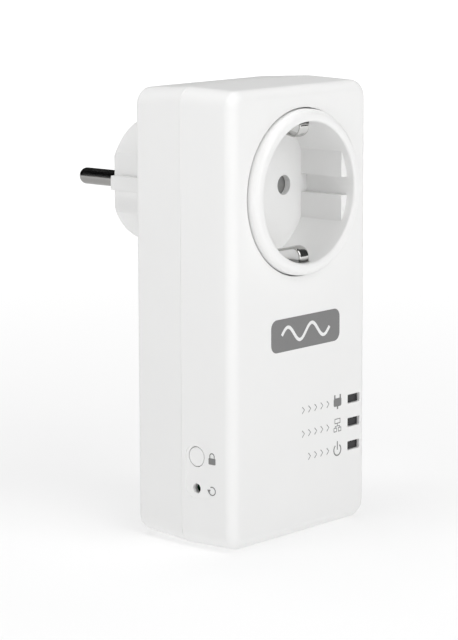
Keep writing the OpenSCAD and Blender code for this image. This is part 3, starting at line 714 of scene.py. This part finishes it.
def side_marks():
    """A padlock beside the button and a turning arrow beside the pinhole."""
    y, z = Y_FACE + 7.5, BUTTON_Z
    arch = arc_points((y, z + 0.85), 0.8, 180, 0, 16)
    lock = [
        rounded(y - 1.25, y + 1.25, z - 1.5, z + 0.3, 0.25, 4),
        stroke([(y - 0.8, z + 0.25), *arch, (y + 0.8, z + 0.25)], 0.3),
    ]
    print_on_side("icon_lock", lock)
    z = RESET_Z
    turn = [
        stroke(arc_points((y, z), 1.15, 60, 350, 30), 0.3),
        [(y + 0.55, z + 0.35), (y + 1.75, z + 0.25), (y + 1.2, z - 0.65)],
    ]
    print_on_side("icon_reset", turn)


badge()
indicator_marks()
side_marks()

# ---------------------------------------------------------------- metal parts and coils


CLIP_ROOT_Z = 18.8


def strip_loops(path, width, thick, steps=36):
    """Cross-sections of a strip along a path of (y, z): ovals as wide along X as given."""
    angles = [2 * math.pi * (k + 0.5) / steps for k in range(steps)]
    power = 0.62  # 1 gives an ellipse, and less a squarer section
    outline = [
        (
            math.copysign(abs(math.cos(a)) ** power, math.cos(a)) * width / 2,
            math.copysign(abs(math.sin(a)) ** power, math.sin(a)) * thick / 2,
        )
        for a in angles
    ]
    loops = []
    for i, p in enumerate(path):
        a, b = path[max(i - 1, 0)], path[min(i + 1, len(path) - 1)]
        dy, dz = b[0] - a[0], b[1] - a[1]
        size = math.hypot(dy, dz)
        ny, nz = -dz / size, dy / size
        loops.append([(x, p[0] + ny * t, p[1] + nz * t) for x, t in outline])
    return loops


def earth_clip_skin(node, body, up):
    """Bent spring strip with smooth bends, between the same root, bump and hook as its CAD node."""
    thick, bend, crown = 0.7, 2.7, 0.2
    low, high = box_mm(node)
    width = high.x - low.x
    root_y, root_z = high.y, CLIP_ROOT_Z
    bump_y = low.y + thick / 2 + bend
    zs = sorted((abs(low.z), abs(high.z)))
    bump_z, tip_z = zs[0] + thick / 2, zs[1]
    arm = (0, 0.1, 0.3, 0.6, 0.9, 1)
    path = [(root_y + (bump_y - root_y) * t, root_z + (bump_z - root_z) * t) for t in arm]
    path += arc_points((bump_y, bump_z + bend), bend, 270, 180, 18)[1:]
    path.append((bump_y - bend, tip_z))
    path = [(y, z if up else -z) for y, z in path]
    clip = loft(node + "_skin", strip_loops(path, width, thick + crown))
    for face in clip.data.polygons:
        face.use_smooth = True
    clip.modifiers.new("normals", "WEIGHTED_NORMAL").keep_sharp = True
    finish_piece(clip, MATERIALS["clip_steel"], body, [node])


def wire(name, points, r, sides=10):
    """Round wire through points in mm."""
    loops = []
    side = None
    for i, p in enumerate(points):
        p = Vector(p)
        before, after = Vector(points[max(i - 1, 0)]), Vector(points[min(i + 1, len(points) - 1)])
        along = (after - before).normalized()
        if side is None:
            side = along.orthogonal().normalized()
        side = (side - along * side.dot(along)).normalized()
        other = along.cross(side)
        loops.append([
            tuple(p + (side * math.cos(a) + other * math.sin(a)) * r)
            for a in (2 * math.pi * k / sides for k in range(sides))
        ])
    obj = loft(name, loops)
    for face in obj.data.polygons:
        face.use_smooth = len(face.vertices) == 4
    return obj


def shutter_spring_skin():
    """Coil of wire in the space of the two rings that stand for it in CAD."""
    low, high = box_mm("shutter_spring")
    ring_wire_r, wire_r = 0.18, 0.16
    r = (high.x - low.x) / 2 - ring_wire_r
    turns, steps = 2.6, 180
    y0, y1 = low.y + wire_r, high.y - wire_r
    points = []
    for i in range(steps + 1):
        a = 2 * math.pi * turns * i / steps
        points.append((r * math.cos(a), y0 + (y1 - y0) * i / steps, r * math.sin(a)))
    coil = wire("shutter_spring_coil", points, wire_r)
    finish_piece(coil, MATERIALS["spring_steel"], HOUSING, ["shutter_spring"])


def choke_windings():
    """Two copper windings, one on each half of the ring core."""
    low, high = box_mm("mains_choke")
    middle = (low + high) / 2
    core_r = (high.x - low.x) / 2
    ring_r = (high.z - low.z) / 2 - core_r
    wire_r = 0.26
    coil_r = core_r + 0.28
    turns, steps = 11, 330
    for label, start in (("upper", 20), ("lower", 200)):
        points = []
        for i in range(steps + 1):
            ring = math.radians(start + 140 * i / steps)
            coil = 2 * math.pi * turns * i / steps
            out = ring_r + coil_r * math.cos(coil)
            points.append((
                middle.x + coil_r * math.sin(coil),
                middle.y + out * math.cos(ring),
                middle.z + out * math.sin(ring),
            ))
        finish_piece(wire("choke_winding_" + label, points, wire_r, 8), COPPER, HOUSING)


def capacitor_marks():
    """Pale stripe down the side of each electrolytic capacitor and a score across its top."""
    for node, places in (("primary_capacitor", 1), ("output_capacitors", 2)):
        low, high = box_mm(node)
        r = (high.z - low.z) / 2
        z = (high.z + low.z) / 2
        for i in range(places):
            x = low.x + r if i == 0 else high.x - r
            outer = arc_points((x, z), r + 0.05, 150, 190, 10)
            inner = arc_points((x, z), r - 0.05, 190, 150, 10)
            stripe_end = low.y + 0.78 * (high.y - low.y)
            mark = prism("stripe", outer + inner, "y", low.y + 0.5, stripe_end)
            finish_piece(mark, INK_WHITE, HOUSING).name = f"{node}_stripe_{i}"
            reach, half = 0.6 * r, 0.12
            lines = [
                prism("score", rectangle(x - u, x + u, z - v, z + v), "y", high.y - 0.02, high.y + 0.04)
                for u, v in ((reach, half), (half, reach))
            ]
            finish_piece(join(f"{node}_score_{i}", lines), MATERIALS["jack_shield"], HOUSING)


THROUGH_PARTS = (
    "transformer_winding", "primary_capacitor", "output_capacitors", "interference_capacitor",
    "fuse", "varistor", "mains_choke", "optocoupler", "bridge_rectifier",
)


# Half outline of a solder dome round a leg's tip: (radius, height above the board)
DOME = ((0.0, -0.02), (0.75, -0.02), (0.6, 0.16), (0.34, 0.42), (0.26, 0.75), (0.0, 0.78))
LEG_SPREAD = 0.32


def solder_joints():
    """Domes of solder on the front of the board, where the legs of the rear parts come through."""
    profile = [(r, Y_BOARD - height) for r, height in DOME]
    domes = []
    for node in THROUGH_PARTS:
        low, high = box_mm(node)
        mid_x, mid_z = (low.x + high.x) / 2, (low.z + high.z) / 2
        dx, dz = (high.x - low.x) * LEG_SPREAD, (high.z - low.z) * LEG_SPREAD
        for sx, sz in ((-1, -1), (1, -1), (-1, 1), (1, 1)):
            domes.append(revolve("dome", profile, (mid_x + sx * dx, mid_z + sz * dz), 20))
    joints = join("solder_joints", domes)
    for face in joints.data.polygons:
        face.use_smooth = True
    finish_piece(joints, MATERIALS["jack_shield"], HOUSING)


earth_clip_skin("earth_clip_upper", "clip_upper", True)
earth_clip_skin("earth_clip_lower", "clip_lower", False)
shutter_spring_skin()
choke_windings()
capacitor_marks()
solder_joints()

# ---------------------------------------------------------------- floor, light and camera


def studio_floor():
    """Large pale floor, which glows a little, and more the further it is from the object."""
    steps, reach = 96, 9.0
    floor_z = Z_BOTTOM * MM - 0.0002
    verts = [(x, y, floor_z) for x, y in circle(reach, steps=steps)]
    mesh = bpy.data.meshes.new("floor")
    mesh.from_pydata(verts, [], [tuple(range(steps))])
    floor = bpy.data.objects.new("floor", mesh)
    bpy.context.scene.collection.objects.link(floor)
    r = Recipe("floor_paper", (0.4, 0.4, 0.4), 0.9)
    r.set("Specular IOR Level", 0.1)
    r.vary_colour(r.noise(3, 3.0), 0.006)
    r.bump(r.noise(900, 3.0), 0.01)
    r.set("Emission Color", (1, 1, 1, 1))
    far = r.nodes.new("ShaderNodeVectorMath")
    far.operation = "LENGTH"
    r.links.new(r.coords, far.inputs[0])
    glow = r.nodes.new("ShaderNodeMapRange")
    glow.inputs["From Min"].default_value = 0.15
    glow.inputs["From Max"].default_value = 1.6
    glow.inputs["To Min"].default_value = 0.5
    glow.inputs["To Max"].default_value = 1.0
    r.links.new(far.outputs["Value"], glow.inputs["Value"])
    r.links.new(glow.outputs["Result"], r.shader.inputs["Emission Strength"])
    mesh.materials.append(r.material)


def area_light(name, place, target, size, power):
    data = bpy.data.lights.new(name, "AREA")
    data.shape = "RECTANGLE"
    data.size, data.size_y = size
    data.energy = power
    lamp = bpy.data.objects.new(name, data)
    lamp.location = place
    lamp.rotation_euler = (Vector(target) - Vector(place)).to_track_quat("-Z", "Y").to_euler()
    bpy.context.scene.collection.objects.link(lamp)


def studio_light():
    """Even grey surroundings with one dark part high behind the object, and four soft boxes."""
    world = bpy.data.worlds.new("studio")
    bpy.context.scene.world = world
    world.use_nodes = True
    nodes, links = world.node_tree.nodes, world.node_tree.links
    coords = nodes.new("ShaderNodeTexCoord")
    dot = nodes.new("ShaderNodeVectorMath")
    dot.operation = "DOT_PRODUCT"
    dot.inputs[1].default_value = Vector((-0.15, 0.72, 0.68)).normalized()
    links.new(coords.outputs["Generated"], dot.inputs[0])
    level = nodes.new("ShaderNodeMapRange")
    level.interpolation_type = "SMOOTHSTEP"
    level.inputs["From Min"].default_value = 0.7
    level.inputs["From Max"].default_value = 0.86
    level.inputs["To Min"].default_value = 0.9
    level.inputs["To Max"].default_value = 0.02
    links.new(dot.outputs["Value"], level.inputs["Value"])
    links.new(level.outputs["Result"], nodes["Background"].inputs["Strength"])
    middle = (0, -0.03, -0.03)
    area_light("front_box", (-0.15, -1.35, 1.05), middle, (1.5, 1.3), 12.5)
    area_light("low_box", (-0.35, -1.45, 0.05), middle, (1.2, 0.7), 4.2)
    area_light("left_box", (-1.6, 0.25, 0.25), middle, (1.5, 1.3), 10)
    area_light("top_box", (-0.1, 0.2, 1.6), middle, (1.3, 0.9), 14)


# Where the picture is taken from, about a point inside the housing, in mm
CAMERA_AZIMUTH = math.radians(-48.94)
CAMERA_ELEVATION = math.radians(9.81)
CAMERA_ROLL = math.radians(-0.18)
CAMERA_DISTANCE = 736.6
CAMERA_TARGET = (-8.1, Y_FACE + 20, Z_BOTTOM + 60.8)
CAMERA_LENS, CAMERA_SENSOR = 146.6, 36.0


def camera():
    data = bpy.data.cameras.new("camera")
    data.sensor_width = CAMERA_SENSOR
    data.lens = CAMERA_LENS
    data.clip_start = 0.01
    view = bpy.data.objects.new("camera", data)
    out = Vector((
        math.sin(CAMERA_AZIMUTH) * math.cos(CAMERA_ELEVATION),
        -math.cos(CAMERA_AZIMUTH) * math.cos(CAMERA_ELEVATION),
        math.sin(CAMERA_ELEVATION),
    ))
    target = Vector(CAMERA_TARGET) * MM
    view.location = target + out * CAMERA_DISTANCE * MM
    turn = (-out).to_track_quat("-Z", "Y").to_matrix() @ Matrix.Rotation(CAMERA_ROLL, 3, "Z")
    view.rotation_euler = turn.to_euler()
    bpy.context.scene.collection.objects.link(view)
    bpy.context.scene.camera = view


camera()
studio_floor()
studio_light()
bpy.context.scene.view_settings.view_transform = "Standard"
bpy.context.scene.view_settings.exposure = 0.25
